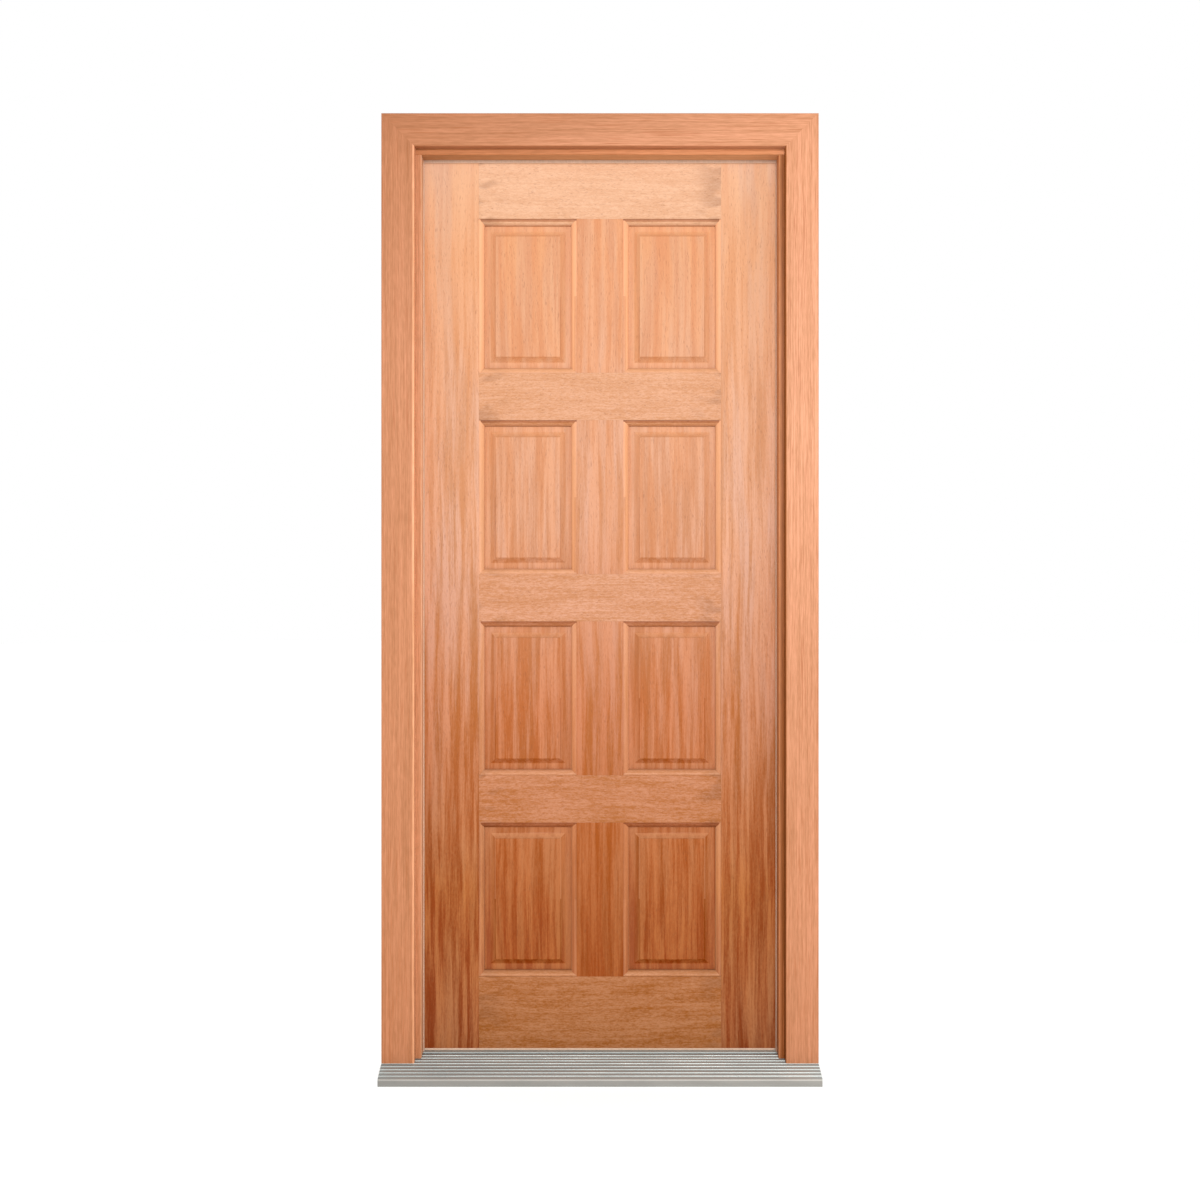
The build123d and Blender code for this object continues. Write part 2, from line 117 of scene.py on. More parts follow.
# How red, green and blue change where the leaf's timber is warmer, and the sill's hue on its nose's
# front and on the rest of it.
WARMTH = (1.04, 0.97, 0.86)
NOSE_HUE = (1.0, 0.96, 0.95)
SLOPE_HUE = (0.98, 1.02, 1.06)
# How a Mix node mixes two colours, and how it multiplies one by the other.
BLEND = {"out": 2, "data_type": "RGBA"}
TINT = {"out": 2, "data_type": "RGBA", "blend_type": "MULTIPLY"}


def linear(hex_colour, lift=(0.0, 0.0, 0.0)):
    """The linear red, green and blue of an sRGB hex colour, each first raised by its lift."""
    values = [int(hex_colour[i : i + 2], 16) / 255 + up for i, up in zip((1, 3, 5), lift)]
    values = [min(max(v, 0.0), 1.0) for v in values]
    return tuple(v / 12.92 if v <= 0.04045 else ((v + 0.055) / 1.055) ** 2.4 for v in values)


def colour_setting(name, description, hex_colour):
    return FloatVectorProperty(
        name=name,
        description=description,
        default=linear(hex_colour),
        subtype="COLOR",
        min=0,
        max=1,
    )


def length_setting(name, description, millimetres):
    return FloatProperty(
        name=name,
        description=description,
        default=millimetres * MM,
        min=0,
        precision=5,
        subtype="DISTANCE",
        unit="LENGTH",
    )


class DoorTimberSettings(PropertyGroup):
    """Sizes and colours of the leaf's and the frame's timber"""

    ribbon_width: length_setting("Ribbon Width", "Width of one pale or dark ribbon of the grain", 12)
    ribbon_length: length_setting("Ribbon Length", "How far a ribbon runs before it fades", 330)
    fibre_width: length_setting("Fibre Width", "Width of the streaks inside a ribbon", 3.2)
    pore_length: length_setting("Pore Length", "Length of a cut pore along the grain", 14)
    arris: length_setting("Arris", "Width of the sanded edge of each member", 0.5)
    # The lock side's colour is paler than the hinge side's as painted light from the right.
    casing_left: colour_setting("Left Casing", "Frame timber on the hinge side", "#AA704D")
    casing_right: colour_setting("Right Casing", "Frame timber on the lock side", "#BE8360")
    casing_streak: colour_setting("Casing Streak", "Cut pores in the frame timber", "#9A5A34")
    # Colour that the leaf's mouldings and bevels take as a painted highlight where they face up or
    # sideways.
    highlight_colour: colour_setting("Bare Timber", "Leaf timber where the stain was wiped off", "#E3A67C")
    pore: colour_setting("Pore", "Inside a cut pore of the leaf's timber", "#613016")
    smudge: colour_setting("Smudge", "Risen grain near the ends of a rail", "#653C21")


class DoorMetalSettings(PropertyGroup):
    """Sizes and colours of the sill, the hinges and their screws"""

    sill: colour_setting("Sill", "Mill-finish aluminium", "#A7A8A2")
    die_line_spacing: length_setting("Die Line Spacing", "Distance between extrusion die lines", 1.2)
    hinge: colour_setting("Hinge", "Satin stainless steel", "#C4C2BE")
    seal: colour_setting("Seal", "Beige rubber", "#CFAE96")
    screw_head_radius: length_setting("Screw Head Radius", "Radius of a countersunk head", 4.15)
    screw_recess_arm: length_setting("Recess Arm", "Reach of the cross recess", 2.1)
    screw_recess_width: length_setting("Recess Width", "Width of the cross recess", 0.9)
    screw_recess_depth: length_setting("Recess Depth", "Depth of the cross recess", 1.4)
    screw_sides: IntProperty(name="Screw Sides", description="Sides of a head", default=40, min=12)


class DoorStageSettings(PropertyGroup):
    """The camera, the floor and the studio light"""

    camera_distance: length_setting("Camera Distance", "From the casings' front", 2745)
    camera_height: length_setting("Camera Height", "Above the ground", 1042.4)
    focal_length: FloatProperty(
        name="Focal Length", description="In millimetres on a 36 mm sensor", default=37.83, min=1
    )
    floor: colour_setting("Floor", "Matt white floor", "#FAFAF9")
    key_strength: FloatProperty(name="Key", description="Strength of the key light", default=2.4)
    key_azimuth: FloatProperty(
        name="Key Azimuth",
        description="Turn of the key light to the right of the camera",
        default=math.radians(2),
        subtype="ANGLE",
        unit="ROTATION",
    )
    key_elevation: FloatProperty(
        name="Key Elevation",
        description="Height of the key light",
        default=math.radians(9),
        subtype="ANGLE",
        unit="ROTATION",
    )
    room_strength: FloatProperty(
        name="Room", description="Strength of the light that the white room sends back", default=0.58
    )
    right_box: FloatProperty(
        name="Right Softbox", description="Power of the tall softbox on the right", default=15, unit="POWER"
    )
    left_box: FloatProperty(
        name="Left Softbox", description="Power of the tall softbox on the left", default=9, unit="POWER"
    )


def add(tree, kind, inputs=(), out=0, **settings):
    """Adds one shader node with its settings, fills its inputs and returns one of its outputs.

    The inputs are values or links, in order or by name or number. In a Mix node, 0 is the factor,
    6 and 7 are the two colours and output 2 is the mixed one.
    """
    node = tree.nodes.new("ShaderNode" + kind)
    for name, value in settings.items():
        setattr(node, name, value)
    for name, value in inputs.items() if isinstance(inputs, dict) else enumerate(inputs):
        socket = node.inputs[name]
        if isinstance(value, bpy.types.NodeSocket):
            tree.links.new(value, socket)
        elif socket.type == "RGBA":
            socket.default_value = (*value[:3], 1)
        else:
            socket.default_value = value
    return node.outputs[out] if node.outputs else None


def new_material(name):
    """An empty node material and its tree."""
    material = bpy.data.materials.new(name)
    material.use_nodes = True
    material.node_tree.nodes.clear()
    return material, material.node_tree


def board_position(tree, along, wander):
    """Where a point lies on its body, and the same point for the grain, where every board differs.

    A slow noise moves the lines of the second one across the grain, by up to about half of wander.
    """
    place = add(tree, "TexCoord", out="Object")
    shift = add(tree, "Attribute", out="Vector", attribute_type="OBJECT", attribute_name="board_shift")
    moved = add(tree, "VectorMath", (place, shift), operation="ADD")
    slow = add(tree, "TexNoise", {"Vector": moved, "Scale": 2.2, "Detail": 1.0}, "Color")
    centred = add(tree, "VectorMath", (slow, (0.5, 0.5, 0.5)), operation="SUBTRACT")
    reach = tuple(0.0 if axis == along else 2 * wander for axis in "XYZ")
    sway = add(tree, "VectorMath", (centred, reach), operation="MULTIPLY")
    return place, add(tree, "VectorMath", (moved, sway), operation="ADD")


def grain(tree, place, along, width, length, low=0.34, high=0.66, detail=2.0, to=(0.0, 1.0)):
    """A pattern drawn out along the grain, width across it and length along it in metres.

    What lies between low and high of its noise is spread over the range of to.
    """
    scale = tuple(1 / length if axis == along else 1 / width for axis in "XYZ")
    drawn = add(tree, "VectorMath", (place, scale), operation="MULTIPLY")
    noise = add(tree, "TexNoise", {"Vector": drawn, "Scale": 1.0, "Detail": detail, "Roughness": 0.55})
    return add(tree, "MapRange", (noise, low, high, *to), interpolation_type="SMOOTHSTEP")


def layered(tree, layers, start=0.0):
    """Adds up patterns, each by its weight."""
    total = start
    for pattern, weight in layers:
        total = add(tree, "Math", (pattern, weight, total), operation="MULTIPLY_ADD")
    return total


def by_height(tree, height, colours):
    """The colour at a height above the ground, from (height, colour) pairs."""
    reach = 2.1
    node = tree.nodes.new("ShaderNodeValToRGB")
    tree.links.new(add(tree, "Math", (height, reach), operation="DIVIDE"), node.inputs[0])
    elements = node.color_ramp.elements
    while len(elements) < len(colours):
        elements.new(0.5)
    for element, (z, colour) in zip(elements, colours):
        element.position = z / reach
        element.color = (*colour, 1)
    return node.outputs[0]


# Height above the ground, and the leaf timber's mean colour there: its stain with painted light laid
# on it. The colour is deep and brown at the foot and pale and pinkish at the head, which is painted
# light falling off from above with a painted sheen towards the head; the top stop is paler still, a
# painted light that cancels the shadow under the head. The rails' face is paler than the stiles', a
# painted sheen on its level grain.
STILE_STAIN_AND_LIGHT = [
    (0.1, "#804404"),
    (0.4, "#8A4A05"),
    (0.8, "#A16638"),
    (1.2, "#B3805B"),
    (1.8, "#BC8862"),
    (2.0, "#C29678"),
]
INNER_STAIN_AND_LIGHT = [
    (0.3, "#854404"),
    (0.5, "#8F4E14"),
    (0.8, "#A06032"),
    (1.2, "#B07A54"),
    (1.8, "#BA825B"),
]
RAIL_STAIN_AND_LIGHT = [
    (0.1, "#8C5520"),
    (0.6, "#9F6437"),
    (1.0, "#AF7850"),
    (1.6, "#B8835A"),
    (2.0, "#C59875"),
]
# How far the grain's pale and deep parts differ from the mean, at the foot and at the head.
STILE_SPREAD = ((0.072, 0.093, 0.2), (0.011, 0.018, 0.024))
MUNTIN_SPREAD = ((0.042, 0.055, 0.14), (0.019, 0.031, 0.045))
PANEL_SPREAD = ((0.052, 0.068, 0.15), (0.015, 0.025, 0.03))
RAIL_SPREAD = ((0.05, 0.062, 0.13), (0.022, 0.029, 0.045))
# Height above the ground, and how pale the frame's timber is there at its two outer edges: painted
# light and shade, darker towards the foot, most on the right, and at the head's left end.
LEFT_PAINTED_SHADE = [(0.1, 0.83), (0.4, 0.91), (0.9, 0.98), (1.4, 1.06), (2.0, 0.9), (2.08, 0.79)]
RIGHT_PAINTED_SHADE = [(0.1, 0.68), (0.4, 0.77), (0.8, 0.87), (1.4, 1.06), (2.0, 1.02), (2.08, 0.94)]


def stained(tree, place, stain, spread, tone):
    """The leaf's colour at each height: its stain with painted light and sheen laid on it, paler and
    pinker or deeper and browner by the grain's tone.

    spread holds how far red, green and blue part at the foot and at the head, as a share of white.
    """
    height = add(tree, "SeparateXYZ", (place,), "Z")
    low, high = stain[0][0], stain[-1][0]
    ends = []
    for part in ((-1.0, -1.0, -0.5), EVEN):
        colours = []
        for z, colour in stain:
            rise = (z - low) / (high - low)
            apart = [foot + (head - foot) * rise for foot, head in zip(*spread)]
            colours.append((z, linear(colour, [a * b for a, b in zip(apart, part)])))
        ends.append(by_height(tree, height, colours))
    clear = add(tree, "MapRange", (tone, 0.2, 0.8))
    return add(tree, "Mix", {0: clear, 6: ends[0], 7: ends[1]}, **BLEND)


def toned_or_shaded(tree, colour, depth, red, blue):
    """Multiplies a colour by a depth: red and blue are the powers of it that these two channels
    take. A thicker coat of stain takes least from the red and most from the blue, and painted shade
    is darkened and browned by the same rule.
    """
    red = add(tree, "Math", (depth, red), operation="POWER")
    blue = add(tree, "Math", (depth, blue), operation="POWER")
    both = {0: 1.0, 6: colour, 7: add(tree, "CombineColor", (red, depth, blue))}
    return add(tree, "Mix", both, **TINT)


def painted_edge_light(tree, colour, place, edges):
    """Mouldings and bevels lie behind their member's face, and take painted light and shade as if lit
    from above: a painted highlight and sheen makes what faces up or sideways paler, towards the
    highlight colour, and painted shade makes what faces down on the rails and panels darker and
    browner, most near the foot, with a painted shadow in the quirk under each rail.
    """
    height = add(tree, "SeparateXYZ", (place,), "Z")
    middle = add(tree, "Attribute", out="Vector", attribute_type="OBJECT", attribute_name="board_middle")
    middle = add(tree, "SeparateXYZ", (middle,), "Z")
    lower = add(tree, "Math", (height, middle), operation="LESS_THAN")
    depth = add(tree, "SeparateXYZ", (place,), "Y")
    depth = add(tree, "Math", (depth, LEAF_MIDDLE), operation="SUBTRACT")
    depth = add(tree, "Math", (depth,), operation="ABSOLUTE")
    slope = add(tree, "SeparateXYZ", (add(tree, "TexCoord", out="Normal"),), "Z")
    # Painted shade on what faces down and painted light on what faces up or sideways, from foot to head.
    under, beside, over = [
        add(tree, "MapRange", (height, *EDGE_HEIGHTS, *stain))
        for stain in (edges.down, edges.side, edges.up)
    ]
    shade = add(tree, "MapRange", (slope, -0.45, -0.05, under, beside))
    shade = add(tree, "MapRange", (slope, 0.05, 0.45, shade, over))
    # Painted shadow in the quirk along a rail's lower edge; its upper edge takes the light painted on what
    # faces up.
    quirk_shade = add(tree, "MapRange", (lower, 0.0, 1.0, over, edges.quirk))
    shallow, sunk = [edges.face - below for below in QUIRK_DEPTH]
    shade = add(tree, "MapRange", (depth, shallow, sunk, quirk_shade, shade))
    highlight_colour = tuple(bpy.context.scene.door_timber.highlight_colour)
    for start, factor in ((edges.face, shade), (edges.deep, edges.hollow)):
        factor = add(tree, "MapRange", (depth, start, start - EDGE_BLEND, 1.0, factor))
        # Below 1 the factor is painted shade, which darkens the colour; above 1 a painted highlight, which
        # mixes in the highlight colour.
        edge_shade = add(tree, "Math", (factor, 1.0), operation="MINIMUM")
        thin = add(tree, "Math", (factor, 1.0), operation="SUBTRACT", use_clamp=True)
        colour = toned_or_shaded(tree, colour, edge_shade, 0.6, 1.35)
        colour = add(tree, "Mix", {0: thin, 6: colour, 7: highlight_colour}, **BLEND)
    return colour


def lacquered(tree, colour, relief, roughness):
    """Wood under a wiped-on lacquer: the film is thin, so the pores stay open and break its gloss."""
    bump = add(tree, "Bump", {"Height": relief, "Distance": 0.07 * MM, "Strength": 1.0})
    inputs = {
        "Base Color": colour,
        "Roughness": roughness,
        "IOR": 1.5,
        "Specular IOR Level": 0.07,
        "Normal": bump,
        "Coat Weight": 0.05,
        "Coat Roughness": 0.28,
        "Coat IOR": 1.5,
    }
    add(tree, "OutputMaterial", (add(tree, "BsdfPrincipled", inputs),))


def ribbon_timber(name, along, stain, spread, edges):
    """Sapele, quarter-sawn, planed, stained and lacquered.

    Interlocked grain gives the eye upright ribbons that are pale or deep by turns, with fine open
    pores. The colour deepens towards the foot, which is painted shade for light that falls off
    downwards, and the ribbons part more there.
    """
    timber = bpy.context.scene.door_timber
    material, tree = new_material(name)
    place, warped = board_position(tree, along, 9 * MM)
    ribbons = grain(tree, warped, along, timber.ribbon_width, timber.ribbon_length)
    broad = grain(tree, warped, along, 2.6 * timber.ribbon_width, 700 * MM, 0.38, 0.62, 1.0)
    fibres = grain(tree, warped, along, timber.fibre_width, 60 * MM)
    specks = grain(tree, warped, along, 2.3 * MM, 8 * MM, 0.3, 0.7)
    tone = layered(tree, ((ribbons, 0.48), (broad, 0.17), (fibres, 0.2), (specks, 0.15)))
    colour = stained(tree, place, stain, spread, tone)
    warmth = grain(tree, warped, along, 24 * MM, 260 * MM, 0.4, 0.6, 1.0)
    warm = {0: warmth, 6: colour, 7: WARMTH}
    colour = add(tree, "Mix", warm, **TINT)
    pores = grain(tree, warped, along, 1.4 * MM, timber.pore_length, 0.60, 0.72, 1.0, (0.0, 0.3))
    colour = add(tree, "Mix", {0: pores, 6: colour, 7: tuple(timber.pore)}, **BLEND)
    colour = painted_edge_light(tree, colour, place, edges)
    relief = layered(tree, ((specks, 0.2), (pores, -1.0)))
    rough = add(tree, "MapRange", (ribbons, 0.0, 1.0, 0.5, 0.42))
    lacquered(tree, colour, relief, rough)
    return material


def mottled_timber(name, along, stain, spread, edges):
    """The same sapele cut so that the rays lie in the face, which gives the eye a short, flecked
    figure along the rail instead of ribbons, and darker smudges where the grain rises at its ends.
    """
    timber = bpy.context.scene.door_timber
    material, tree = new_material(name)
    place, warped = board_position(tree, along, 14 * MM)
    clouds = grain(tree, warped, along, 24 * MM, 120 * MM, 0.36, 0.64)
    fleck = grain(tree, warped, along, 3.0 * MM, 12 * MM, 0.34, 0.66, 3.0)
    lines = grain(tree, warped, along, 5 * MM, 300 * MM, 0.34, 0.66, 3.0)
    fine = grain(tree, warped, along, 2.2 * MM, 5 * MM, 0.3, 0.7)
    tone = layered(tree, ((clouds, 0.2), (fleck, 0.32), (lines, 0.22), (fine, 0.26)))
    colour = stained(tree, place, stain, spread, tone)
    beside = add(tree, "Math", (add(tree, "SeparateXYZ", (place,), "X"),), operation="ABSOLUTE")
    ends = add(tree, "MapRange", (beside, *RAIL_ENDS, 0.0, 0.3), interpolation_type="SMOOTHSTEP")
    smudge = grain(tree, warped, along, 30 * MM, 70 * MM, 0.47, 0.62, 1.0)
    smudge = add(tree, "Math", (smudge, ends), operation="MULTIPLY")
    colour = add(tree, "Mix", {0: smudge, 6: colour, 7: tuple(timber.smudge)}, **BLEND)
    pores = grain(tree, warped, along, 1.4 * MM, timber.pore_length * 0.5, 0.60, 0.72, 1.0, (0.0, 0.3))
    colour = add(tree, "Mix", {0: pores, 6: colour, 7: tuple(timber.pore)}, **BLEND)
    colour = painted_edge_light(tree, colour, place, edges)
    relief = layered(tree, ((fine, 0.2), (pores, -1.0)))
    rough = add(tree, "MapRange", (fleck, 0.0, 1.0, 0.52, 0.42))
    lacquered(tree, colour, relief, rough)
    return material


def streaked_timber(name, along):
    """Meranti, flat-sawn, moulded, stained and lacquered.

    Its grain runs straight along each board in fine lines, with long cut pores that show as short
    dark streaks, so it turns with the boards at the mitres. The lock side is painted paler than the
    hinge side, as painted light from the right, and each board takes its own painted light and shade:
    a painted highlight on the hinge side's edge beside the way through, and painted shade and shadow
    on the lock side's jamb and edge, which face away from that light.
    """
    timber = bpy.context.scene.door_timber
    material, tree = new_material(name)
    place, warped = board_position(tree, along, 3 * MM)
    x = add(tree, "SeparateXYZ", (place,), "X")
    y = add(tree, "SeparateXYZ", (place,), "Y")
    height = add(tree, "SeparateXYZ", (place,), "Z")
    # Painted light from the right makes the lock side paler, and painted shade changes with height.
    side = add(tree, "MapRange", (x, *FRAME_SIDES))
    colour = {0: side, 6: tuple(timber.casing_left), 7: tuple(timber.casing_right)}
    colour = add(tree, "Mix", colour, **BLEND)
    left, right = [
        by_height(tree, height, [(z, (value,) * 3) for z, value in shades])
        for shades in (LEFT_PAINTED_SHADE, RIGHT_PAINTED_SHADE)
    ]
    shade = add(tree, "Mix", {0: side, 6: left, 7: right}, **BLEND)
    # Each board's painted light and shade on its front, its stop and its inner edge.
    front_light, reveal_light, edges = [
        add(tree, "Attribute", out="Color", attribute_type="OBJECT", attribute_name=tone)
        for tone in ("front_tone", "reveal_tone", "edge_tone")
    ]
    beside = add(tree, "Math", (x,), operation="ABSOLUTE")
    reveal = add(tree, "MapRange", (y, *REVEAL_DEPTH))
    blend = add(tree, "Attribute", out="Fac", attribute_type="OBJECT", attribute_name="blend_width")
    if along == "Z":
        front_light = add(tree, "Mix", {0: reveal, 6: front_light, 7: EVEN}, **BLEND)
        until = add(tree, "Math", (blend, STOP_EDGE), operation="ADD")
        reveal = add(tree, "MapRange", (beside, STOP_EDGE, until, 1.0, 0.0))
    board = add(tree, "Mix", {0: reveal, 6: front_light, 7: reveal_light}, **BLEND)
    until = add(tree, "Math", (blend, CASING_EDGE), operation="ADD")
    edge = add(tree, "MapRange", (beside, CASING_EDGE, until, 1.0, 0.0))
    board = add(tree, "Mix", {0: edge, 6: board, 7: edges}, **TINT)
    bands = grain(tree, warped, along, 14 * MM, 600 * MM, 0.36, 0.64, 1.0)
    lines = grain(tree, warped, along, 3.0 * MM, 300 * MM)
    fine = grain(tree, warped, along, 2.2 * MM, 26 * MM, 0.3, 0.7)
    tone = layered(tree, ((bands, 0.08), (lines, 0.18), (fine, 0.2)), 0.77)
    colour = add(tree, "Mix", {0: 1.0, 6: colour, 7: board}, **TINT)
    colour = toned_or_shaded(tree, colour, shade, 0.8, 1.2)
    colour = toned_or_shaded(tree, colour, tone, 0.9, 1.4)
    streaks = grain(tree, warped, along, 2.0 * MM, 110 * MM, 0.57, 0.69, 2.0, (0.0, 0.6))
    streak = {0: streaks, 6: colour, 7: tuple(timber.casing_streak)}
    colour = add(tree, "Mix", streak, **BLEND)
    relief = layered(tree, ((fine, 0.2), (streaks, -0.8)))
    rough = add(tree, "MapRange", (lines, 0.0, 1.0, 0.52, 0.44))
    lacquered(tree, colour, relief, rough)
    return material


def extruded_aluminium():
    """Aluminium, mill finish, straight from the extrusion die: soft grey gloss with fine lines
    along the length and a faint bloom of oxide. The lines are drawn coarser than real ones, which
    are a few hundredths of a millimetre apart, so that they show. Over this lies painted light and
    shade: crests and hollows of the outer ribs painted apart, the crests much paler towards the right,
    a painted tone over the inner ribs, painted shade on the nose's front below its top edge, and
    painted light over the sill's right side.
    """
    metal = bpy.context.scene.door_metal
    material, tree = new_material("mill_finish_aluminium")
    place, warped = board_position(tree, "X", 0.0)
    x = add(tree, "SeparateXYZ", (place,), "X")
    y = add(tree, "SeparateXYZ", (place,), "Y")
    z = add(tree, "SeparateXYZ", (place,), "Z")
    lines = grain(tree, warped, "X", metal.die_line_spacing, 2.5, 0.3, 0.7, 3.0)
    bloom = grain(tree, warped, "X", 22 * MM, 90 * MM, 0.3, 0.7, 3.0)
    section = add(tree, "VectorMath", (place, (0.0, 1.0, 1.0)), operation="MULTIPLY")
    rise = add(tree, "VectorMath", (section, SLOPE_CENTRE), "Value", operation="DISTANCE")
    rise = add(tree, "Math", (rise, SLOPE_RADIUS), operation="SUBTRACT")
    # Painted light and shade: hollows and crests of the ribs, the crests much paler towards the right,
    # painted shade on the nose's front below its top, and painted light over the right side.
    hollow_light = add(tree, "MapRange", (x, *SILL_SIDES, 1.08, 1.06))
    crest_light = add(tree, "MapRange", (x, *SILL_SIDES, 0.93, 1.45))
    rib_light = add(tree, "MapRange", (rise, *RIB_RISE, hollow_light, crest_light))
    inner = add(tree, "MapRange", (rise, *RIB_RISE, 1.22, 0.97))
    rib_light = add(tree, "MapRange", (y, *INNER_RIBS, rib_light, inner))
    nose_front_shade = add(tree, "MapRange", (z, *NOSE_TOP, 0.52, 0.88))
    nose = add(tree, "MapRange", (y, *NOSE_DEPTH, nose_front_shade, rib_light))
    right_side_light = add(tree, "MapRange", (x, -0.3, 0.45, 1.0, 1.22))
    tone = layered(tree, ((lines, 0.12), (bloom, 0.07)), 0.81)
    for factor in (nose, right_side_light):
        tone = add(tree, "Math", (tone, factor), operation="MULTIPLY")
    upper = add(tree, "MapRange", (y, *NOSE_DEPTH))
    hue = add(tree, "Mix", {0: upper, 6: NOSE_HUE, 7: SLOPE_HUE}, **BLEND)
    both = {0: 1.0, 6: tuple(metal.sill), 7: hue}
    colour = add(tree, "Mix", both, **TINT)
    colour = toned_or_shaded(tree, colour, tone, 1.0, 1.0)
    bump = add(tree, "Bump", {"Height": lines, "Distance": 0.03 * MM})
    rough = add(tree, "MapRange", (bloom, 0.0, 1.0, 0.55, 0.45))
    shader = {"Base Color": colour, "Metallic": 0.5, "Roughness": rough, "Normal": bump}
    add(tree, "OutputMaterial", (add(tree, "BsdfPrincipled", shader),))
    return material


def satin_steel():
    """Stainless steel, rolled and satin-brushed across the leaves of the hinge, which spreads each
    highlight into a short vertical smear."""
    metal = bpy.context.scene.door_metal
    material, tree = new_material("satin_stainless_steel")
    _, warped = board_position(tree, "Z", 0.0)
    lines = grain(tree, warped, "Z", 0.5 * MM, 60 * MM, 0.3, 0.7)
    tone = layered(tree, ((lines, 0.14),), 0.86)
    colour = toned_or_shaded(tree, tuple(metal.hinge), tone, 1.0, 1.0)
    bump = add(tree, "Bump", {"Height": lines, "Distance": 0.01 * MM})
    rough = add(tree, "MapRange", (lines, 0.0, 1.0, 0.38, 0.26))
    shader = {"Base Color": colour, "Metallic": 1.0, "Roughness": rough, "Normal": bump}
    add(tree, "OutputMaterial", (add(tree, "BsdfPrincipled", shader),))
    return material


def extruded_rubber():
    """Thermoplastic rubber, extruded, beige: matt with a faint drag along its length and dust that
    has settled in patches."""
    metal = bpy.context.scene.door_metal
    material, tree = new_material("extruded_seal_rubber")
    _, warped = board_position(tree, "Z", 0.0)
    drag = grain(tree, warped, "Z", 1.5 * MM, 200 * MM, 0.3, 0.7)
    dust = grain(tree, warped, "Z", 12 * MM, 30 * MM, 0.3, 0.7, 3.0)
    tone = layered(tree, ((drag, 0.1), (dust, 0.08)), 0.82)
    colour = toned_or_shaded(tree, tuple(metal.seal), tone, 1.0, 1.0)
    bump = add(tree, "Bump", {"Height": drag, "Distance": 0.05 * MM})
    rough = add(tree, "MapRange", (dust, 0.0, 1.0, 0.68, 0.58))
    shader = {"Base Color": colour, "Roughness": rough, "IOR": 1.5, "Normal": bump}
    add(tree, "OutputMaterial", (add(tree, "BsdfPrincipled", shader),))
    return material


def dress(names, material):
    """Gives CAD nodes a material, and each one its own place in the timber or metal it is cut from."""
    for name in names:
        node = CAD_NODES[name]
        node.data.materials.clear()
        node.data.materials.append(material)
        order = sorted(CAD_NODES).index(name)
        node["board_shift"] = (order * 1.37 % 5, order * 2.11 % 7, order * 0.83 % 3)
        # Each frame board also takes its painted light and shade, and each piece its middle, which tells a
        # rail's lower edge, where the quirk's shadow is painted.
        board_light = BOARD_PAINTED_LIGHT.get(name, (EVEN, EVEN, EVEN, 0.008))
        node["front_tone"], node["reveal_tone"], node["edge_tone"], node["blend_width"] = board_light
        node["board_middle"] = tuple((low + high) / 2 for low, high in zip(*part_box(name)))


def soften(names, width):
    """Sands the arrises of CAD nodes, so that they catch the light."""
    for name in names:
        node = CAD_NODES[name]
        weld = node.modifiers.new("Weld", "WELD")
        weld.merge_threshold = 0.00002
        bevel = node.modifiers.new("Arris", "BEVEL")
        bevel.width = width
        bevel.segments = 2
        bevel.limit_method = "ANGLE"
        bevel.angle_limit = math.radians(32)
        bevel.use_clamp_overlap = True
        shading = node.modifiers.new("Shading", "WEIGHTED_NORMAL")
        shading.keep_sharp = False
        shading.weight = 80


class DOOR_OT_finish_leaf(Operator):
    """Gives the leaf's stiles, muntins, rails and panels their timber and soft arrises"""

    bl_idname = "door.finish_leaf"
    bl_label = "Finish Leaf"

    def execute(self, context):
        for kind, names, figure, along, stain, spread, edges in (
            ("stile", LEAF_STILES, ribbon_timber, "Z", STILE_STAIN_AND_LIGHT, STILE_SPREAD, STILE_EDGE_LIGHT),
            ("muntin", LEAF_MUNTINS, ribbon_timber, "Z", INNER_STAIN_AND_LIGHT, MUNTIN_SPREAD, STILE_EDGE_LIGHT),
            ("panel", LEAF_PANELS, ribbon_timber, "Z", INNER_STAIN_AND_LIGHT, PANEL_SPREAD, PANEL_EDGE_LIGHT),
            ("rail", LEAF_RAILS, mottled_timber, "X", RAIL_STAIN_AND_LIGHT, RAIL_SPREAD, RAIL_EDGE_LIGHT),
        ):
            dress(names, figure(f"lacquered_sapele_{kind}", along, stain, spread, edges))
        members = LEAF_STILES + LEAF_MUNTINS + LEAF_PANELS + LEAF_RAILS
        soften(members, context.scene.door_timber.arris)
        return {"FINISHED"}


class DOOR_OT_finish_frame(Operator):
    """Gives the jambs, the head and the casings their timber and soft arrises"""

    bl_idname = "door.finish_frame"
    bl_label = "Finish Frame"

    def execute(self, context):
        dress(FRAME_UPRIGHTS, streaked_timber("lacquered_meranti_upright", "Z"))
        dress(FRAME_HEADS, streaked_timber("lacquered_meranti_head", "X"))
        soften(FRAME_UPRIGHTS + FRAME_HEADS, context.scene.door_timber.arris)
        return {"FINISHED"}


class DOOR_OT_finish_sill(Operator):
    """Gives the sill its mill-finish aluminium and the seals their rubber"""

    bl_idname = "door.finish_sill"
    bl_label = "Finish Sill and Seals"

    def execute(self, context):
        dress(["sill"], extruded_aluminium())
        dress(SEALS, extruded_rubber())
        return {"FINISHED"}


class DOOR_OT_finish_hinges(Operator):
    """Gives the hinges' flaps and pins their satin steel"""

    bl_idname = "door.finish_hinges"
    bl_label = "Finish Hinges"

    def execute(self, context):
        dress(HINGE_PARTS, satin_steel())
        return {"FINISHED"}


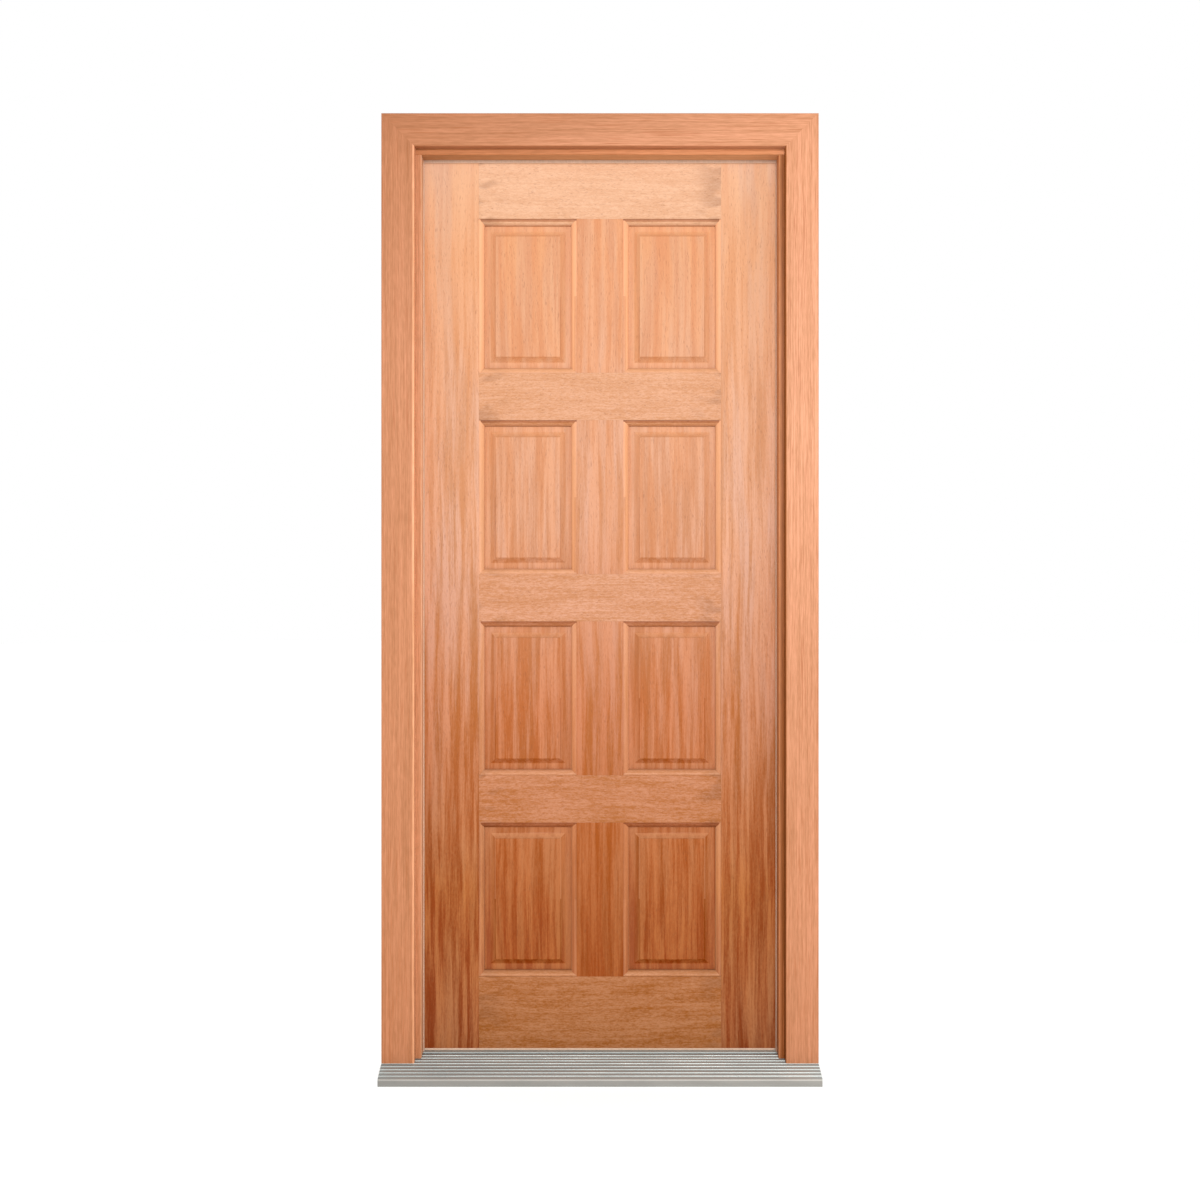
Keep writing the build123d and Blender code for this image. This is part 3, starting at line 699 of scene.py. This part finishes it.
def screw_head(mesh, place, metal):
    """One countersunk head with a cross recess in a bmesh; place takes its axis, +Z outwards, to
    where it sits."""
    radius, arm = metal.screw_head_radius, metal.screw_recess_arm
    half, depth = metal.screw_recess_width / 2, metal.screw_recess_depth
    sides = metal.screw_sides

    def ring(size, height):
        return [
            mesh.verts.new(
                place
                @ Vector(
                    (
                        size * math.cos(2 * math.pi * i / sides),
                        size * math.sin(2 * math.pi * i / sides),
                        height,
                    )
                )
            )
            for i in range(sides)
        ]

    def cross(reach, width, height):
        quarter = [(reach, -width), (reach, width), (width, width)]
        points = []
        for turn in range(4):
            c, s = (1, 0, -1, 0)[turn], (0, 1, 0, -1)[turn]
            points += [(c * x - s * y, s * x + c * y) for x, y in quarter]
        return [mesh.verts.new(place @ Vector((x, y, height))) for x, y in points]

    def wall(lower, upper):
        count = len(lower)
        for i in range(count):
            j = (i + 1) % count
            mesh.faces.new((lower[i], lower[j], upper[j], upper[i]))

    shank = ring(radius * 0.5, -2.45 * MM)
    rim = ring(radius, -0.14 * MM)
    lip = ring(radius * 0.97, -0.05 * MM)
    crown = ring(radius * 0.72, -0.01 * MM)
    mesh.faces.new(list(reversed(shank)))
    wall(shank, rim)
    wall(rim, lip)
    wall(lip, crown)
    mouth = cross(arm, half, 0.0)
    floor = cross(arm * 0.55, half * 0.6, -depth)
    edges = [mesh.edges.get((crown[i], crown[(i + 1) % sides])) for i in range(sides)]
    edges += [mesh.edges.new((mouth[i], mouth[(i + 1) % 12])) for i in range(12)]
    bmesh.ops.triangle_fill(mesh, edges=edges, use_beauty=True)
    wall(list(reversed(floor)), list(reversed(mouth)))
    mesh.faces.new(floor)


class DOOR_OT_add_hinge_screws(Operator):
    """Adds the countersunk hinge screws with their cross recesses, one piece on each body"""

    bl_idname = "door.add_hinge_screws"
    bl_label = "Add Hinge Screws"

    def execute(self, context):
        metal = context.scene.door_metal
        for body, flap, side, face in (
            ("frame", "_jamb_flap", 1, JAMB_FLAP_FACE),
            ("leaf", "_leaf_flap", -1, LEAF_FLAP_FACE),
        ):
            mesh = bmesh.new()
            flaps = sorted(n for n in CAD_NODES if n.endswith(flap))
            if len(flaps) != 3:
                raise RuntimeError("the door needs three hinges")
            for order, name in enumerate(flaps):
                low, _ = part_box(name)
                for count, (rise, y) in enumerate(SCREW_PLACES):
                    spot = Matrix.Translation((face, y, low[2] + rise))
                    turn = Matrix.Rotation(math.radians(90 * side), 4, "Y")
                    spin = Matrix.Rotation(math.radians(23 + 41 * (order * 3 + count)), 4, "Z")
                    screw_head(mesh, spot @ turn @ spin, metal)
            bmesh.ops.recalc_face_normals(mesh, faces=mesh.faces)
            data = bpy.data.meshes.new(f"{body}_hinge_screws")
            mesh.to_mesh(data)
            mesh.free()
            screws = bpy.data.objects.new(f"{body}_hinge_screws", data)
            context.scene.collection.objects.link(screws)
            data.materials.append(bpy.data.materials["satin_stainless_steel"])
            screws["board_shift"] = (3.1, 1.7, 0.4)
            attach(screws, body)
        return {"FINISHED"}


def painted_floor(colour):
    """Emulsion paint, rolled on a smooth floor: matt white with a faint roller stipple. It glows a
    little, as a lit studio floor does, which keeps the shadows pale.
    """
    material, tree = new_material("matt_white_floor_paint")
    place = add(tree, "TexCoord", out="Object")
    stipple = add(tree, "TexNoise", {"Vector": place, "Scale": 350.0})
    shader = {
        "Base Color": colour,
        "Roughness": 0.9,
        "Normal": add(tree, "Bump", {"Height": stipple, "Distance": 0.1 * MM}),
        "Emission Color": (1, 1, 1),
        "Emission Strength": 0.45,
    }
    add(tree, "OutputMaterial", (add(tree, "BsdfPrincipled", shader),))
    return material


class DOOR_OT_set_stage(Operator):
    """Lays the pale floor, sets the soft studio light and places the camera"""

    bl_idname = "door.set_stage"
    bl_label = "Set Stage"

    def execute(self, context):
        scene, stage = context.scene, context.scene.door_stage
        scene.view_settings.view_transform = "Standard"
        scene.view_settings.look = "None"

        lens = bpy.data.cameras.new("photo_camera")
        lens.lens = stage.focal_length
        lens.sensor_width = 36
        lens.clip_end = 200
        camera = bpy.data.objects.new("photo_camera", lens)
        camera.location = (0, -18 * MM - stage.camera_distance, stage.camera_height)
        camera.rotation_euler = (math.radians(90), 0, 0)
        scene.collection.objects.link(camera)
        scene.camera = camera

        plane = bmesh.new()
        bmesh.ops.create_circle(plane, cap_ends=True, segments=96, radius=30)
        data = bpy.data.meshes.new("studio_floor")
        plane.to_mesh(data)
        plane.free()
        floor = bpy.data.objects.new("studio_floor", data)
        floor.location.z = -0.5 * MM
        scene.collection.objects.link(floor)
        data.materials.append(painted_floor(tuple(stage.floor)))

        lamp = bpy.data.lights.new("key_light", "SUN")
        lamp.energy = stage.key_strength
        lamp.angle = math.radians(14)
        key = bpy.data.objects.new("key_light", lamp)
        towards = Vector(
            (
                math.sin(stage.key_azimuth) * math.cos(stage.key_elevation),
                -math.cos(stage.key_azimuth) * math.cos(stage.key_elevation),
                math.sin(stage.key_elevation),
            )
        )
        key.rotation_euler = towards.to_track_quat("Z", "Y").to_euler()
        scene.collection.objects.link(key)

        softboxes = (("right_softbox", 1, stage.right_box), ("left_softbox", -1, stage.left_box))
        for name, side, power in softboxes:
            box = bpy.data.lights.new(name, "AREA")
            box.shape = "RECTANGLE"
            box.size, box.size_y = SOFTBOX_SIZE
            box.energy = power
            lit = bpy.data.objects.new(name, box)
            beside, before, above = SOFTBOX_PLACE
            lit.location = (side * beside, before, above)
            aim = lit.location - Vector(SOFTBOX_AIM)
            lit.rotation_euler = aim.to_track_quat("Z", "Y").to_euler()
            lit.visible_camera = False
            scene.collection.objects.link(lit)

        world = bpy.data.worlds.new("white_studio")
        world.use_nodes = True
        tree = world.node_tree
        tree.nodes.clear()
        seen = add(tree, "LightPath", out="Is Camera Ray")
        strength = add(tree, "MapRange", (seen, 0.0, 1.0, stage.room_strength, 1.0))
        add(tree, "OutputWorld", (add(tree, "Background", ((1, 1, 1), strength)),))
        scene.world = world
        return {"FINISHED"}


class DOOR_PT_sidebar(Panel):
    """Sizes, colours and steps of the panelled front door"""

    bl_label = "Panelled Front Door"
    bl_idname = "DOOR_PT_sidebar"
    bl_space_type = "VIEW_3D"
    bl_region_type = "UI"
    bl_category = "Door"

    def draw(self, context):
        layout = self.layout
        for settings in (
            context.scene.door_timber,
            context.scene.door_metal,
            context.scene.door_stage,
        ):
            box = layout.box()
            for name in settings.__annotations__:
                box.prop(settings, name)
        for operator in OPERATORS:
            layout.operator(operator.bl_idname)


OPERATORS = (
    DOOR_OT_finish_leaf,
    DOOR_OT_finish_frame,
    DOOR_OT_finish_sill,
    DOOR_OT_finish_hinges,
    DOOR_OT_add_hinge_screws,
    DOOR_OT_set_stage,
)
SETTINGS = (DoorTimberSettings, DoorMetalSettings, DoorStageSettings)
CLASSES = (*SETTINGS, *OPERATORS, DOOR_PT_sidebar)


def register():
    for cls in CLASSES:
        bpy.utils.register_class(cls)
    bpy.types.Scene.door_timber = PointerProperty(type=DoorTimberSettings)
    bpy.types.Scene.door_metal = PointerProperty(type=DoorMetalSettings)
    bpy.types.Scene.door_stage = PointerProperty(type=DoorStageSettings)


def unregister():
    del bpy.types.Scene.door_stage
    del bpy.types.Scene.door_metal
    del bpy.types.Scene.door_timber
    for cls in reversed(CLASSES):
        bpy.utils.unregister_class(cls)


def main():
    register()
    bpy.ops.door.finish_leaf()
    bpy.ops.door.finish_frame()
    bpy.ops.door.finish_sill()
    bpy.ops.door.finish_hinges()
    bpy.ops.door.add_hinge_screws()
    bpy.ops.door.set_stage()


if __name__ == "__main__":
    main()
